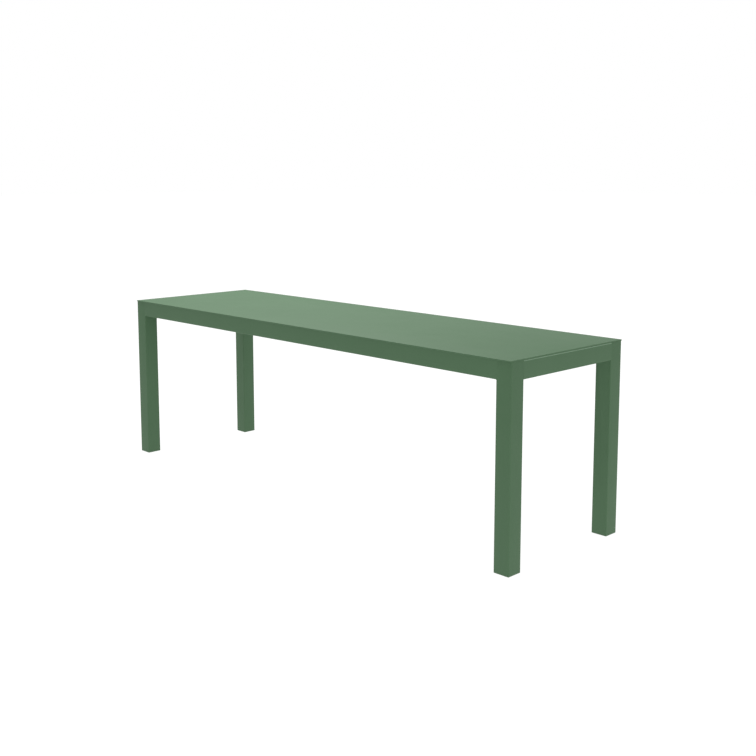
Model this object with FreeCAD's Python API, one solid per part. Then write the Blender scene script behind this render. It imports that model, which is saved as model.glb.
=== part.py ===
import FreeCAD, Part

import math
import os

# A backless bench: a flat sheet-metal seat on a frame of square tube with four legs.
# Millimetres. X runs along the bench, Y across it with the front at -Y, and Z is up.
# The origin is on the floor, under the middle of the seat.

# Overall sizes
LENGTH = 1390.0  # over the seat plate, along X
DEPTH = 395.0  # over the seat plate, along Y
HEIGHT = 450.0  # floor to the top of the seat plate

# Seat plate
PLATE = 3.0
PLATE_CORNER = 1.0  # radius of the four corners, seen from above
PLATE_EDGE = 0.6  # rounding along the top and bottom edges
OVERHANG_SIDE = 1.5  # how far the plate stands out over the long rails
OVERHANG_END = 0.0  # how far it stands out over the end rails, which it is level with

# Square tube of the legs and rails
TUBE = 40.0
WALL = 2.0
TUBE_CORNER = 2.0
TUBE_INNER_CORNER = 0.5
DRAIN = 6.0  # diameter of the drain holes under the rails
DRAIN_INSET = 60.0  # drain hole to the end of a long rail
COPE_GAP = 0.1  # end rail to the legs that it is cut to fit

# Foot glides, pushed into the legs
GLIDE_HEAD = 4.0
GLIDE_EDGE = 1.0
GLIDE_WALL = 3.0
GLIDE_REACH = 22.0  # stem and fins above the head
FIN = 1.4
FIN_DEPTH = 3.0  # how far the fins stand out of the stem
FIN_PITCH = 6.0
FIN_COUNT = 3
FIN_CLEARANCE = 0.05
FIN_CORNER = 1.0

# Bearers under the plate: channels, open downwards
BEARER_COUNT = 4
BEARER_WIDTH = 40.0
BEARER_HEIGHT = 30.0
BEARER_WALL = 2.0
BEARER_BEND = 1.0  # inner radius of the two bends
BEARER_GAP = 0.5  # bearer end to the rail
BEARER_INSET = 94.0  # outermost bearer's middle to the end rail
TAPE = 1.0  # damping tape between bearer and plate
TAPE_WIDTH = 30.0
TAPE_INSET = 4.0  # tape end to bearer end

# Angle brackets that hang the bearers on the long rails
BRACKET_PLAY = 1.0  # bracket to each flange of the bearer
BRACKET_WALL = 3.0
BRACKET_BEND = 2.0  # inner radius of the bend
BRACKET_SHELF = 35.0  # the leg that lies under the bearer
BRACKET_DROP = 32.0  # the leg that stands on the rail
BRACKET_SCREW_SPACING = 16.0
BRACKET_SCREW_DROP = 20.0  # top of the bracket to its screws

# Connector plugs that join the end rails to the legs
PLUG_LENGTH = 34.0
PLUG_CLEARANCE = 0.15
PLUG_CORNER = 1.5
PLUG_LEAD = 1.2  # chamfer that guides the plug into the tube
PLUG_SCREW_INSET = 9.0  # screw to the tube's inner face
PLUG_HEAD_DEPTH = 7.0  # counterbore for the socket heads
PLUG_HEAD_RADIUS = 5.5

# M6 hardware
THREAD = 6.0
THREAD_CLEARANCE = 0.05  # screw to nut thread, on the radius
HOLE_CLEARANCE = 0.3  # screw to plain hole, on the radius
BUTTON_RADIUS = 5.25
BUTTON_HEIGHT = 3.3
CAP_RADIUS = 5.0
CAP_HEIGHT = 6.0
SOCKET_FLATS = 4.0
CAP_SOCKET_FLATS = 5.0
SOCKET_DEPTH = 2.0
CAP_SOCKET_DEPTH = 3.0
TIP = 0.6  # chamfer on a screw's tip
SCREW_GRIP = 13.0  # length of a screw inside its rivet nut
LOCK_GRIP = 12.0  # length of a locking screw inside its plug
RIVET_RADIUS = 4.5
RIVET_CLEARANCE = 0.05
RIVET_LENGTH = 14.0
RIVET_FLANGE_RIM = 2.0  # how far the flange stands out of the body
RIVET_FLANGE = 0.8
RIVET_BULGE_RIM = 1.7  # how far the bulge stands out of the body
RIVET_BULGE = 2.6
FLANGE_POCKET_CLEARANCE = 0.2

# Weld studs under the plate, with a washer and a lock nut each
STUD_END = 1.8  # what shows below the lock nut
STUD_FOOT_RIM = 0.75  # how far the foot stands out of the stud
STUD_FOOT = 0.8
STUD_INSET = 21.0  # outer studs to the rail
WASHER_RADIUS = 6.0
WASHER = 1.6
NUT_FLATS = 10.0
NUT = 5.0
NUT_COLLAR = 1.6
NUT_COLLAR_RADIUS = 4.4
NUT_CHAMFER = 0.6

# Places that follow from the sizes above
FRAME_TOP = HEIGHT - PLATE
RAIL_BOTTOM = FRAME_TOP - TUBE
RAIL_MIDDLE = FRAME_TOP - TUBE / 2
LEG_X = LENGTH / 2 - OVERHANG_END - TUBE / 2
LEG_Y = DEPTH / 2 - OVERHANG_SIDE - TUBE / 2
INNER_X = LEG_X - TUBE / 2
INNER_Y = LEG_Y - TUBE / 2
BORE = TUBE - 2 * WALL
BEARER_TOP = FRAME_TOP - TAPE
WEB_BOTTOM = BEARER_TOP - BEARER_WALL
SHELF_BOTTOM = WEB_BOTTOM - BRACKET_WALL
BEARER_REACH = INNER_Y - BEARER_GAP
BRACKET_WIDTH = BEARER_WIDTH - 2 * (BEARER_WALL + BRACKET_PLAY)
PLUG_SCREW_SPACING = BORE - 2 * PLUG_SCREW_INSET
RIVET_FLANGE_RADIUS = RIVET_RADIUS + RIVET_FLANGE_RIM
RIVET_BULGE_RADIUS = RIVET_RADIUS + RIVET_BULGE_RIM
STUD_FOOT_RADIUS = THREAD / 2 + STUD_FOOT_RIM
STUD = FRAME_TOP - SHELF_BOTTOM + WASHER + NUT + NUT_COLLAR + STUD_END
BRACKET_SCREW = RIVET_FLANGE + BRACKET_WALL + SCREW_GRIP
PLUG_SCREW = PLUG_LENGTH - PLUG_HEAD_DEPTH + SCREW_GRIP
LOCK_SCREW = WALL + LOCK_GRIP

UP = FreeCAD.Vector(0, 0, 1)
DOWN = FreeCAD.Vector(0, 0, -1)
ALONG_X = FreeCAD.Vector(1, 0, 0)
ALONG_Y = FreeCAD.Vector(0, 1, 0)

ENDS = {"left": -1, "right": 1}
SIDES = {"front": -1, "rear": 1}


def point(x, y, z):
    return FreeCAD.Vector(x, y, z)


def placed(shape, where, facing=UP):
    """A copy of a piece made at the origin, with its +Z turned to face a direction."""
    copy = shape.copy()
    copy.Placement = FreeCAD.Placement(where, FreeCAD.Rotation(UP, facing))
    return copy


def rod(radius, bottom, top, x=0.0, y=0.0):
    """An upright cylinder between two heights."""
    return Part.makeCylinder(radius, top - bottom, point(x, y, bottom))


def bar(width, depth, length, corner):
    """An upright bar with rounded long edges, standing on the origin."""
    x = width / 2 - corner
    y = depth / 2 - corner
    arcs = []
    for quarter, (cx, cy) in enumerate([(x, y), (-x, y), (-x, -y), (x, -y)]):
        start = 90 * quarter
        arcs.append(Part.makeCircle(corner, point(cx, cy, 0), UP, start, start + 90))
    edges = []
    for arc, following in zip(arcs, arcs[1:] + arcs[:1]):
        edges.append(arc)
        edges.append(Part.makeLine(arc.Vertexes[-1].Point, following.Vertexes[0].Point))
    outline = Part.Face(Part.Wire(Part.__sortEdges__(edges)))
    return outline.extrude(point(0, 0, length))


def ring(width, depth, wall, corner, inner_corner, length):
    """An upright hollow bar, open at both ends."""
    hollow = bar(width - 2 * wall, depth - 2 * wall, length, inner_corner)
    return bar(width, depth, length, corner).cut(hollow)


def block(low, high):
    """A plain box between two corners, used to cut and to keep."""
    size = high - low
    return Part.makeBox(size.x, size.y, size.z, low)


def hexagon(flats, bottom, top):
    """An upright hexagonal bar, by its width across flats."""
    radius = flats / math.sqrt(3)
    corners = []
    for step in range(7):
        angle = math.radians(60 * step)
        corners.append(point(radius * math.cos(angle), radius * math.sin(angle), bottom))
    return Part.Face(Part.makePolygon(corners)).extrude(point(0, 0, top - bottom))


def rounded_rims(shape, heights, radius):
    """Rounds the edges that lie wholly at the given heights."""
    rims = []
    for edge in shape.Edges:
        box = edge.BoundBox
        if any(abs(box.ZMin - z) < 1e-6 and abs(box.ZMax - z) < 1e-6 for z in heights):
            rims.append(edge)
    return shape.makeFillet(radius, rims)


# Frame of square tube


def tube(length):
    return ring(TUBE, TUBE, WALL, TUBE_CORNER, TUBE_INNER_CORNER, length)


def rivet_hole():
    radius = RIVET_RADIUS + RIVET_CLEARANCE
    return rod(radius, -2 * WALL, WALL)


def leg(end, side):
    """Runs from the glide's head to the plate, with holes for its plug's rivet nuts."""
    leg_tube = placed(tube(FRAME_TOP - GLIDE_HEAD), point(end * LEG_X, side * LEG_Y, GLIDE_HEAD))
    for where in plug_screw_points(end, side):
        leg_tube = leg_tube.cut(placed(rivet_hole(), where, ALONG_Y * -side))
    return leg_tube


def long_rail(side):
    """Lies between two legs, with holes for the bracket rivet nuts and two drains."""
    rail = placed(tube(2 * INNER_X), point(-INNER_X, side * LEG_Y, RAIL_MIDDLE), ALONG_X)
    for bearer_x in bearer_places():
        for where in bracket_screw_points(bearer_x, side):
            rail = rail.cut(placed(rivet_hole(), where, ALONG_Y * -side))
    for end in ENDS.values():
        drain_x = end * (INNER_X - DRAIN_INSET)
        drain = rod(DRAIN / 2, RAIL_BOTTOM - WALL, RAIL_BOTTOM + 2 * WALL, drain_x, side * LEG_Y)
        rail = rail.cut(drain)
    return rail


def cope(end):
    """The room that a leg takes out of an end rail's end.

    The rail's outer wall closes over the leg's rounded edge. Its inner wall stops at the
    leg's face, because that edge is filled by the long rail's weld.
    """
    half = TUBE / 2 + COPE_GAP
    rounded = bar(2 * half, 2 * half, TUBE, TUBE_CORNER + COPE_GAP)
    inner = -end * half
    welded = block(point(min(inner, 0), -half, 0), point(max(inner, 0), half, TUBE))
    return rounded.fuse(welded)


def end_rail(end):
    """Lies between two legs, over the plugs, with a locking hole at each end and a drain."""
    reach = INNER_Y + TUBE_CORNER
    rail = placed(tube(2 * reach), point(end * LEG_X, -reach, RAIL_MIDDLE), ALONG_Y)
    bottom = RAIL_BOTTOM - WALL
    top = RAIL_BOTTOM + 2 * WALL
    for side in SIDES.values():
        rail = rail.cut(placed(cope(end), point(end * LEG_X, side * LEG_Y, RAIL_BOTTOM)))
    rail = rail.cut(rod(DRAIN / 2, bottom, top, end * LEG_X, 0))
    for side in SIDES.values():
        where = lock_screw_point(end, side)
        rail = rail.cut(rod(THREAD / 2 + HOLE_CLEARANCE, bottom, top, where.x, where.y))
    return rail


def groove_weld(end, side, face):
    """Fills the groove at a leg's rounded edge beside a long rail, ground flush."""
    corner_x = end * INNER_X
    corner_y = side * (LEG_Y + face * TUBE / 2)
    middle_x = corner_x + end * TUBE_CORNER
    middle_y = corner_y - side * face * TUBE_CORNER
    low = point(min(corner_x, middle_x), min(corner_y, middle_y), RAIL_BOTTOM)
    high = point(max(corner_x, middle_x), max(corner_y, middle_y), FRAME_TOP)
    return block(low, high).cut(rod(TUBE_CORNER, RAIL_BOTTOM, FRAME_TOP, middle_x, middle_y))


def seat_seam(side):
    """Fills the groove at a long rail's rounded edge under the plate, ground flush."""
    face_y = side * (LEG_Y + TUBE / 2)
    middle_y = face_y - side * TUBE_CORNER
    bottom = FRAME_TOP - TUBE_CORNER
    low = point(-INNER_X, min(face_y, middle_y), bottom)
    high = point(INNER_X, max(face_y, middle_y), FRAME_TOP)
    edge = placed(rod(TUBE_CORNER, 0, 2 * INNER_X), point(-INNER_X, middle_y, bottom), ALONG_X)
    return block(low, high).cut(edge)


# Seat


def seat_plate():
    plate = placed(bar(LENGTH, DEPTH, PLATE, PLATE_CORNER), point(0, 0, FRAME_TOP))
    return rounded_rims(plate, [FRAME_TOP, HEIGHT], PLATE_EDGE)


def bearer_places():
    """Where the bearers' middles lie along X, evenly spaced."""
    first = -(INNER_X - BEARER_INSET)
    step = -2 * first / (BEARER_COUNT - 1)
    return [first + step * number for number in range(BEARER_COUNT)]


def stud_places():
    """Where the studs of one bearer lie along Y."""
    outer = INNER_Y - STUD_INSET
    return [-outer, 0.0, outer]


def stud_cutter(bearer_x, radius):
    """Upright rods for the stud holes of one bearer."""
    rods = [rod(radius, RAIL_BOTTOM, FRAME_TOP, bearer_x, y) for y in stud_places()]
    return Part.makeCompound(rods)


def bearer(bearer_x):
    """The upper half of a hollow bar, so a channel with two bends, open downwards."""
    outer_bend = BEARER_BEND + BEARER_WALL
    whole = ring(
        BEARER_WIDTH, 2 * BEARER_HEIGHT, BEARER_WALL, outer_bend, BEARER_BEND, 2 * BEARER_REACH
    )
    whole = placed(whole, point(bearer_x, -BEARER_REACH, BEARER_TOP - BEARER_HEIGHT), ALONG_Y)
    half = BEARER_WIDTH / 2
    low = point(bearer_x - half, -BEARER_REACH, BEARER_TOP - BEARER_HEIGHT)
    high = point(bearer_x + half, BEARER_REACH, BEARER_TOP)
    channel = whole.common(block(low, high))
    return channel.cut(stud_cutter(bearer_x, THREAD / 2 + HOLE_CLEARANCE))


def tape(bearer_x):
    reach = BEARER_REACH - TAPE_INSET
    low = point(bearer_x - TAPE_WIDTH / 2, -reach, BEARER_TOP)
    high = point(bearer_x + TAPE_WIDTH / 2, reach, FRAME_TOP)
    return block(low, high).cut(stud_cutter(bearer_x, STUD_FOOT_RADIUS + HOLE_CLEARANCE))


def bracket_screw_points(bearer_x, side):
    """On the inner face of a long rail."""
    half = BRACKET_SCREW_SPACING / 2
    z = WEB_BOTTOM - BRACKET_SCREW_DROP
    return [point(bearer_x + shift, side * INNER_Y, z) for shift in (-half, half)]


def bracket(bearer_x, side):
    """One quarter of a hollow bar, so an angle with one bend, at the top beside the rail."""
    outer_bend = BRACKET_BEND + BRACKET_WALL
    whole = ring(
        2 * BRACKET_DROP, 2 * BRACKET_SHELF, BRACKET_WALL, outer_bend, BRACKET_BEND, BRACKET_WIDTH
    )
    back_y = side * (INNER_Y - RIVET_FLANGE)
    inner_y = back_y - side * BRACKET_SHELF
    left_x = bearer_x - BRACKET_WIDTH / 2
    whole = placed(whole, point(left_x, inner_y, WEB_BOTTOM - BRACKET_DROP), ALONG_X)
    low = point(left_x, min(back_y, inner_y), WEB_BOTTOM - BRACKET_DROP)
    high = point(left_x + BRACKET_WIDTH, max(back_y, inner_y), WEB_BOTTOM)
    angle = whole.common(block(low, high))
    angle = angle.cut(stud_cutter(bearer_x, THREAD / 2 + HOLE_CLEARANCE))
    for where in bracket_screw_points(bearer_x, side):
        hole = rod(THREAD / 2 + HOLE_CLEARANCE, -BRACKET_WALL, 3 * BRACKET_WALL)
        angle = angle.cut(placed(hole, where, ALONG_Y * -side))
    return angle


# End rail connectors


def plug_screw_points(end, side):
    """On the inner face of a leg, side by side at the end rail's middle height."""
    half = PLUG_SCREW_SPACING / 2
    return [point(end * LEG_X + shift, side * INNER_Y, RAIL_MIDDLE) for shift in (-half, half)]


def lock_screw_point(end, side):
    """On the underside of an end rail, under the middle of its plug."""
    return point(end * LEG_X, side * (INNER_Y - PLUG_LENGTH / 2), RAIL_BOTTOM)


def plug(end, side):
    """A block in the end of an end rail, screwed to the leg through its length."""
    size = BORE - 2 * PLUG_CLEARANCE
    body = bar(size, size, PLUG_LENGTH, PLUG_CORNER)
    rims = [e for e in body.Edges if abs(e.BoundBox.ZMin - PLUG_LENGTH) < 1e-6]
    body = body.makeChamfer(PLUG_LEAD, rims)
    for shift in (-PLUG_SCREW_SPACING / 2, PLUG_SCREW_SPACING / 2):
        seat = PLUG_LENGTH - PLUG_HEAD_DEPTH
        pocket = RIVET_FLANGE + FLANGE_POCKET_CLEARANCE
        body = body.cut(rod(THREAD / 2 + HOLE_CLEARANCE, 0, PLUG_LENGTH, shift))
        body = body.cut(rod(PLUG_HEAD_RADIUS, seat, PLUG_LENGTH, shift))
        body = body.cut(rod(RIVET_FLANGE_RADIUS + FLANGE_POCKET_CLEARANCE, 0, pocket, shift))
    body = placed(body, point(end * LEG_X, side * INNER_Y, RAIL_MIDDLE), ALONG_Y * -side)
    where = lock_screw_point(end, side)
    bore = rod(THREAD / 2 + THREAD_CLEARANCE, RAIL_BOTTOM, RAIL_BOTTOM + LOCK_SCREW, where.x, where.y)
    return body.cut(bore)


# Foot glides


def glide(end, side):
    """A head flush with the leg, and a hollow stem with fins that grip inside it."""
    head = rounded_rims(bar(TUBE, TUBE, GLIDE_HEAD, TUBE_CORNER), [0.0], GLIDE_EDGE)
    fin_size = BORE - 2 * FIN_CLEARANCE
    stem_size = fin_size - 2 * FIN_DEPTH
    hollow_corner = GLIDE_WALL / 2
    stem = ring(stem_size, stem_size, GLIDE_WALL, GLIDE_WALL, hollow_corner, GLIDE_REACH)
    insert = head.fuse(placed(stem, point(0, 0, GLIDE_HEAD)))
    fin = ring(fin_size, fin_size, FIN_DEPTH + GLIDE_WALL, FIN_CORNER, hollow_corner, FIN)
    for number in range(FIN_COUNT):
        height = GLIDE_HEAD + FIN_PITCH * (number + 0.5)
        insert = insert.fuse(placed(fin, point(0, 0, height)))
    return placed(insert.removeSplitter(), point(end * LEG_X, side * LEG_Y, 0))


# Hardware, each made with its seat at the origin and its head towards +Z


def screw(length, head_radius, head_height, rounding, flats, socket):
    """A socket screw: the head's underside is at the origin and the shank runs down."""
    head = rod(head_radius, 0, head_height)
    head = rounded_rims(head, [head_height], rounding)
    head = head.cut(hexagon(flats, head_height - socket, head_height))
    shank = rod(THREAD / 2, -length, 0)
    tip = [e for e in shank.Edges if abs(e.BoundBox.ZMax + length) < 1e-6]
    return head.fuse(shank.makeChamfer(TIP, tip))


def button_screw(length):
    return screw(
        length, BUTTON_RADIUS, BUTTON_HEIGHT, 0.7 * BUTTON_HEIGHT, SOCKET_FLATS, SOCKET_DEPTH
    )


def cap_screw(length):
    return screw(length, CAP_RADIUS, CAP_HEIGHT, TIP, CAP_SOCKET_FLATS, CAP_SOCKET_DEPTH)


def rivet_nut():
    """Set in a wall: flange outside, bulge behind the wall, thread through."""
    body = rod(RIVET_RADIUS, -RIVET_LENGTH, 0)
    body = body.fuse(rod(RIVET_FLANGE_RADIUS, 0, RIVET_FLANGE))
    body = body.fuse(rod(RIVET_BULGE_RADIUS, -WALL - RIVET_BULGE, -WALL))
    bore = rod(THREAD / 2 + THREAD_CLEARANCE, -RIVET_LENGTH, RIVET_FLANGE)
    return body.cut(bore)


def weld_stud():
    """Hangs down from the plate, with a small foot where it is welded on."""
    shank = rod(THREAD / 2, -STUD, 0)
    tip = [e for e in shank.Edges if abs(e.BoundBox.ZMax + STUD) < 1e-6]
    return shank.makeChamfer(TIP, tip).fuse(rod(STUD_FOOT_RADIUS, -STUD_FOOT, 0))


def washer():
    """Its upper face is at the origin."""
    return rod(WASHER_RADIUS, -WASHER, 0).cut(rod(THREAD / 2 + HOLE_CLEARANCE, -WASHER, 0))


def lock_nut():
    """A hexagon with a round collar below, its upper face at the origin."""
    disc = rounded_rims(rod(NUT_FLATS / math.sqrt(3), -NUT, 0), [-NUT], NUT_CHAMFER)
    body = hexagon(NUT_FLATS, -NUT, 0).common(disc)
    body = body.fuse(rod(NUT_COLLAR_RADIUS, -NUT - NUT_COLLAR, -NUT))
    return body.cut(rod(THREAD / 2 + THREAD_CLEARANCE, -NUT - NUT_COLLAR, 0))


# The whole bench


def corners():
    for end_name, end in ENDS.items():
        for side_name, side in SIDES.items():
            yield f"{side_name}_{end_name}", end, side


def bearer_names():
    return [f"bearer_{number + 1}" for number in range(BEARER_COUNT)]


def frame_pieces():
    pieces = {}
    for name, end, side in corners():
        pieces[f"{name}_leg"] = leg(end, side)
        pieces[f"{name}_glide"] = glide(end, side)
        pieces[f"{name}_plug"] = plug(end, side)
    for side_name, side in SIDES.items():
        pieces[f"{side_name}_rail"] = long_rail(side)
    for end_name, end in ENDS.items():
        pieces[f"{end_name}_end_rail"] = end_rail(end)
    welds = [groove_weld(end, side, face) for _, end, side in corners() for face in (-1, 1)]
    pieces["frame_welds"] = Part.makeCompound(welds)
    pieces["seat_seams"] = Part.makeCompound([seat_seam(side) for side in SIDES.values()])
    return pieces


def seat_pieces():
    pieces = {"seat_plate": seat_plate()}
    for name, bearer_x in zip(bearer_names(), bearer_places()):
        pieces[name] = bearer(bearer_x)
        pieces[f"{name}_tape"] = tape(bearer_x)
        for side_name, side in SIDES.items():
            pieces[f"{name}_{side_name}_bracket"] = bracket(bearer_x, side)
    return pieces


def corner_hardware():
    plug_screws = []
    plug_nuts = []
    lock_screws = []
    for _, end, side in corners():
        inward = ALONG_Y * -side
        for where in plug_screw_points(end, side):
            seat = where + inward * (PLUG_LENGTH - PLUG_HEAD_DEPTH)
            plug_screws.append(placed(cap_screw(PLUG_SCREW), seat, inward))
            plug_nuts.append(placed(rivet_nut(), where, inward))
        lock_screws.append(placed(button_screw(LOCK_SCREW), lock_screw_point(end, side), DOWN))
    return {
        "plug_screws": Part.makeCompound(plug_screws),
        "plug_rivet_nuts": Part.makeCompound(plug_nuts),
        "locking_screws": Part.makeCompound(lock_screws),
    }


def bracket_hardware():
    screws = []
    nuts = []
    for bearer_x in bearer_places():
        for side in SIDES.values():
            inward = ALONG_Y * -side
            for where in bracket_screw_points(bearer_x, side):
                seat = where + inward * (RIVET_FLANGE + BRACKET_WALL)
                screws.append(placed(button_screw(BRACKET_SCREW), seat, inward))
                nuts.append(placed(rivet_nut(), where, inward))
    return {
        "bracket_screws": Part.makeCompound(screws),
        "bracket_rivet_nuts": Part.makeCompound(nuts),
    }


def stud_hardware():
    """The outer studs also hold the brackets; the middle one holds the bearer alone."""
    studs = []
    washers = []
    nuts = []
    for bearer_x in bearer_places():
        for y in stud_places():
            seat = WEB_BOTTOM if y == 0 else SHELF_BOTTOM
            studs.append(placed(weld_stud(), point(bearer_x, y, FRAME_TOP)))
            washers.append(placed(washer(), point(bearer_x, y, seat)))
            nuts.append(placed(lock_nut(), point(bearer_x, y, seat - WASHER)))
    return {
        "seat_studs": Part.makeCompound(studs),
        "stud_washers": Part.makeCompound(washers),
        "stud_lock_nuts": Part.makeCompound(nuts),
    }


def bench():
    pieces = {}
    pieces.update(seat_pieces())
    pieces.update(frame_pieces())
    pieces.update(corner_hardware())
    pieces.update(bracket_hardware())
    pieces.update(stud_hardware())
    return pieces


os.makedirs("parts", exist_ok=True)
for node, shape in bench().items():
    shape.exportStep(f"parts/{node}.step")
    print(node, len(shape.Solids), round(shape.Volume), shape.isValid())
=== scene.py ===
# %% [markdown]
# # A backless bench in powder-coated steel
#
# The bench is a thin flat seat plate on a welded frame of square tube. Two long side frames,
# each a rail between two legs, are joined by two end rails. Bearers under the plate keep it
# stiff, and all the steel that can be seen from outside has one coat of muted green powder.
#
# The design is already settled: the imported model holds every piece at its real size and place.
# What is left to make is how the bench looks, so the first step is to load that frame. Its
# box is kept, because the finished pieces have to stay inside it.

# %% Load the frame
import math

import bmesh
import bpy
from mathutils import Matrix, Vector


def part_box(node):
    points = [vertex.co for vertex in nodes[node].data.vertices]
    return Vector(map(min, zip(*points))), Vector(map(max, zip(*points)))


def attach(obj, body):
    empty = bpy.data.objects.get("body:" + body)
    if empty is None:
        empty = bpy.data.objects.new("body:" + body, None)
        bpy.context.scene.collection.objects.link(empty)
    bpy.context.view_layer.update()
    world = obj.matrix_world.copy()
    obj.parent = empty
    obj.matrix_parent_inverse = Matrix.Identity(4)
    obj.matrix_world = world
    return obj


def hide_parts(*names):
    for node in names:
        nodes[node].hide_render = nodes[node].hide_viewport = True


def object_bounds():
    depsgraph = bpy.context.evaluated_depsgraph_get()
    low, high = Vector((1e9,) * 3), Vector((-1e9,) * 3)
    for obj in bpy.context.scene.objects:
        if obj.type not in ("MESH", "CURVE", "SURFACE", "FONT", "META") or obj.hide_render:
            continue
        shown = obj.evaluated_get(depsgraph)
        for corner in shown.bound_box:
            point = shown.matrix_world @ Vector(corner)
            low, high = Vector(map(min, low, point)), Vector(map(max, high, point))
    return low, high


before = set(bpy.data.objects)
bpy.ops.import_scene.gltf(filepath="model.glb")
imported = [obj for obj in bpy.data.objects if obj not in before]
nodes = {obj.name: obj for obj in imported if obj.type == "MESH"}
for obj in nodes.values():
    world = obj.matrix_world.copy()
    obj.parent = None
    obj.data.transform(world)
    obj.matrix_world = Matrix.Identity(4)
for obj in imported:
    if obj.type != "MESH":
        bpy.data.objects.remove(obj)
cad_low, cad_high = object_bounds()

print("frame pieces:", len(nodes), "size:", [round(v, 4) for v in cad_high - cad_low])

# %% [markdown]
# ## The stock sizes
#
# A box gives how long and how wide a piece is, but not how thick its wall is or how round its
# corners are. Those are the stock sizes of the tube, the sheet and the hardware, and they
# stand here once, in metres. Steel tube is never sharp: its corners are rolled, and a sawn
# end is eased with a file before it is coated, or the powder would pull away from it.

# %% Stock sizes
MM = 0.001
TUBE_WALL = 2 * MM
TUBE_CORNER = 2 * MM
BORE_CORNER = 0.5 * MM
EASED_END = 0.3 * MM
PLATE_CORNER = 1 * MM
PLATE_EDGE = 0.6 * MM
SHEET_EDGE = 0.25 * MM
CORNER_STEPS = 8
EASE_STEPS = 3
CORNERS = [(side, end) for side in ("front", "rear") for end in ("left", "right")]
print("tube wall", TUBE_WALL, "tube corner", TUBE_CORNER, "plate edge", PLATE_EDGE)

# %% [markdown]
# ## Where each solid of a group lies
#
# Identical screws share one node. To put a better screw where each plain one is, the script
# needs the box of every separate solid in the node. Walking from vertex to vertex along the
# edges finds them: what can be reached without a jump is one solid. The node itself isn't
# touched, because the walk runs on a copy of its mesh.


# %% Boxes of the separate solids in a node
SAME_POINT = 0.001 * MM


def solid_boxes(node):
    """The lowest and highest corner of each separate solid in a CAD node, in order along the bench."""
    copy = bmesh.new()
    copy.from_mesh(nodes[node].data)
    bmesh.ops.remove_doubles(copy, verts=copy.verts, dist=SAME_POINT)
    left = set(copy.verts)
    boxes = []
    while left:
        reached = [left.pop()]
        low = reached[0].co.copy()
        high = reached[0].co.copy()
        while reached:
            vertex = reached.pop()
            low = Vector(map(min, low, vertex.co))
            high = Vector(map(max, high, vertex.co))
            for edge in vertex.link_edges:
                other = edge.other_vert(vertex)
                if other in left:
                    left.discard(other)
                    reached.append(other)
        boxes.append((low, high))
    copy.free()
    return sorted(boxes, key=lambda box: (round(box[0].x, 4), round(box[0].y, 4), box[0].z))


def on_axis(low, high, z):
    """The point at a height on the upright middle line of a box."""
    return Vector(((low.x + high.x) / 2, (low.y + high.y) / 2, z))


print("bracket screws:", len(solid_boxes("bracket_screws")))

# %% [markdown]
# ## Skins from rings
#
# Nearly everything on this bench can be described as a row of rings: a tube is a rounded
# square pushed along a line, a screw is a circle whose radius changes on the way, and a foot
# glide is a rounded square that grows and shrinks. So one helper makes a skin over a list of
# rings, and each piece only has to say what its rings are. The alternative, a primitive with a
# bevel modifier, gives no control over a wall, a thread or a fin.

# %% Rings
ROUND = 24
SHARPEST_CORNER = 0.01 * MM


def rounded_square(half_x, half_y, corner, z=0.0, steps=CORNER_STEPS):
    """One ring of points round a rounded rectangle at a height."""
    corner = max(corner, SHARPEST_CORNER)
    ring = []
    for quarter, (side_x, side_y) in enumerate(((1, 1), (-1, 1), (-1, -1), (1, -1))):
        for step in range(steps + 1):
            angle = math.radians(90 * (quarter + step / steps))
            x = side_x * (half_x - corner) + corner * math.cos(angle)
            y = side_y * (half_y - corner) + corner * math.sin(angle)
            ring.append(Vector((x, y, z)))
    return ring


def round_ring(radius_at, z, count=ROUND):
    """A ring of points whose radius may change on the way round."""
    ring = []
    for number in range(count):
        angle = 2 * math.pi * number / count
        radius = radius_at(angle)
        ring.append(Vector((radius * math.cos(angle), radius * math.sin(angle), z)))
    return ring


def circle(radius, z, count=ROUND):
    return round_ring(lambda angle: radius, z, count)


def lathe(*rows):
    """Circles from rows of (radius, height)."""
    return [circle(radius, z) for radius, z in rows]


print("a leg's ring has", len(rounded_square(20 * MM, 20 * MM, TUBE_CORNER)), "points")


# %% Skins
def skin(rings, ends="capped"):
    """A bmesh over a list of rings. The ends are capped, joined to each other, or open."""
    made = bmesh.new()
    rows = [[made.verts.new(point) for point in ring] for ring in rings]
    pairs = list(zip(rows, rows[1:]))
    if ends == "joined":
        pairs.append((rows[-1], rows[0]))
    for lower, upper in pairs:
        for here in range(len(lower)):
            there = (here + 1) % len(lower)
            made.faces.new((lower[here], lower[there], upper[there], upper[here]))
    if ends == "capped":
        made.faces.new(list(reversed(rows[0])))
        made.faces.new(rows[-1])
    bmesh.ops.recalc_face_normals(made, faces=made.faces)
    return made


rod = skin([circle(1 * MM, 0.0), circle(1 * MM, 10 * MM)])
print("a plain rod's skin has", len(rod.faces), "faces")
rod.free()


# %% Moving and joining skins
def moved(made, matrix):
    """The same bmesh, put in its place."""
    bmesh.ops.transform(made, matrix=matrix, verts=made.verts)
    return made


def joined(several):
    """One bmesh that holds several, which stay separate islands."""
    whole = bmesh.new()
    for one in several:
        loose = bpy.data.meshes.new("loose")
        one.to_mesh(loose)
        whole.from_mesh(loose)
        bpy.data.meshes.remove(loose)
        one.free()
    return whole


# %% [markdown]
# ### Turning a drawing into its place
#
# A skin is drawn upright at the origin, and then it has to be turned. A drill or a screw only
# needs the direction that its top faces, because it is round. An outline that is drawn flat
# and pushed through, as for folded sheet, needs two: which way its plane's across and up lie
# in the bench. The third direction, in which it is pushed, follows from these two.


# %% Turning and placing
def facing(point, direction):
    """Puts a piece whose top is towards +Z at a point, with its top in a direction."""
    turn = Vector((0, 0, 1)).rotation_difference(Vector(direction)).to_matrix().to_4x4()
    return Matrix.Translation(point) @ turn


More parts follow.
